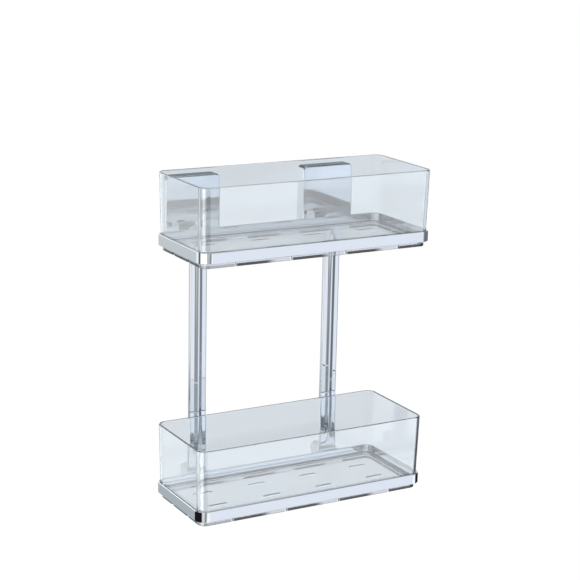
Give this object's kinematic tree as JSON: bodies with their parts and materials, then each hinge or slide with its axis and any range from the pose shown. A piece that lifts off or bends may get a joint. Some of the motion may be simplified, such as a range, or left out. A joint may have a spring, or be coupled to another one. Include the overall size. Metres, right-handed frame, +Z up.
{
  "type": "wall shelf",
  "caption": "Tiered bathroom wall shelf: deep clear trays lift out of chromed band frames, joined by ribbed chromed strips and hung from square covered wall fixings.",
  "frame": {"origin": "on the wall, midway between the centres of the two wall fixings", "axes": "+X right along the wall as seen from the room, +Y into the wall, +Z up"},
  "size_m": [0.2722, 0.1441, 0.354],
  "materials": {
    "clear_plastic": "clear moulded, polished",
    "polished_chrome": "mirror polished",
    "zinc_plated_steel": "zinc plated, satin",
    "white_plastic": "fine matt moulding",
    "foam_tape": "closed-cell foam tape",
    "clear_grey_rubber": "clear, satin"
  },
  "bodies": {
    "rack": {"upper_frame": "polished_chrome", "lower_frame": "polished_chrome", "left_post": "polished_chrome", "right_post": "polished_chrome", "left_upper_spacer": "polished_chrome", "right_upper_spacer": "polished_chrome", "left_lower_spacer": "polished_chrome", "right_lower_spacer": "polished_chrome", "left_upper_outer_screw": "zinc_plated_steel", "left_upper_inner_screw": "zinc_plated_steel", "right_upper_outer_screw": "zinc_plated_steel", "right_upper_inner_screw": "zinc_plated_steel", "left_lower_screw": "zinc_plated_steel", "right_lower_screw": "zinc_plated_steel", "left_bracket": "zinc_plated_steel", "right_bracket": "zinc_plated_steel", "left_cover": "polished_chrome", "right_cover": "polished_chrome", "left_wall_plate": "white_plastic", "right_wall_plate": "white_plastic", "left_adhesive_pad": "foam_tape", "right_adhesive_pad": "foam_tape", "left_stud": "zinc_plated_steel", "right_stud": "zinc_plated_steel", "left_washer": "zinc_plated_steel", "right_washer": "zinc_plated_steel", "left_nut": "zinc_plated_steel", "right_nut": "zinc_plated_steel", "left_standoff": "white_plastic", "right_standoff": "white_plastic", "left_wall_buffer": "clear_grey_rubber", "right_wall_buffer": "clear_grey_rubber"},
    "upper_tray": {"upper_tray": "clear_plastic"},
    "lower_tray": {"lower_tray": "clear_plastic"}
  },
  "joints": [
    {"name": "upper_tray_lift", "type": "slide", "parent": "rack", "child": "upper_tray", "axis": [0, 0, 1], "range_m": [0, 0.1]},
    {"name": "lower_tray_lift", "type": "slide", "parent": "rack", "child": "lower_tray", "axis": [0, 0, 1], "range_m": [0, 0.1]}
  ]
}
